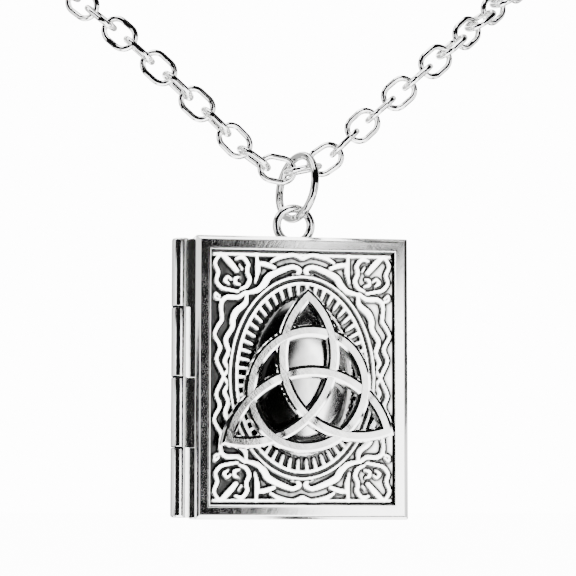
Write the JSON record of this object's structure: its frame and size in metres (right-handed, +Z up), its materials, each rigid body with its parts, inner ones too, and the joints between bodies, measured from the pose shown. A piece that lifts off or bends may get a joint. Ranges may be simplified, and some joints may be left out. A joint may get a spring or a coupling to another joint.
{
  "type": "book locket on a neck chain",
  "caption": "Hinged book-shaped locket with an embossed panel and a pierced knot, hanging by a ring from a closed cable chain.",
  "frame": {"origin": "where the clasp lies on the nape of the neck, at the middle of its inner face", "axes": "+Z up, -Y towards the front where the locket hangs, +X to the viewer's right"},
  "size_m": [0.1294, 0.1162, 0.1515],
  "materials": {
    "chain_silver": "polished silver plate",
    "ring_silver": "polished silver plate",
    "cover_silver": "polished silver plate, finely scratched on the frame",
    "plate_silver": "bright relief over a darkened ground",
    "knot_silver": "satin top with polished bevels",
    "pin_silver": "polished"
  },
  "bodies": {
    "neck": {"chain_left": "chain_silver", "chain_right": "chain_silver", "clasp": "chain_silver"},
    "ring": {"jump_ring": "ring_silver"},
    "back": {"back_cover": "cover_silver", "hinge_pin": "pin_silver"},
    "front": {"front_cover": "cover_silver", "embossed_plate": "plate_silver", "trinity_knot": "knot_silver"}
  },
  "joints": [
    {"name": "ring_swing", "type": "hinge", "parent": "neck", "child": "ring", "pos_m": [0.00081, -0.11008, -0.11627], "axis": [0.917, 0.3798, -0.1219], "range_deg": [-40, 40]},
    {"name": "pendant_swing", "type": "hinge", "parent": "ring", "child": "back", "pos_m": [0.00045, -0.11023, -0.11944], "axis": [0.3827, -0.9239, 0], "range_deg": [-35, 35]},
    {"name": "cover_hinge", "type": "hinge", "parent": "back", "child": "front", "pos_m": [-0.01085, -0.11023, -0.13522], "axis": [0, 0, -1], "range_deg": [0, 175]}
  ]
}
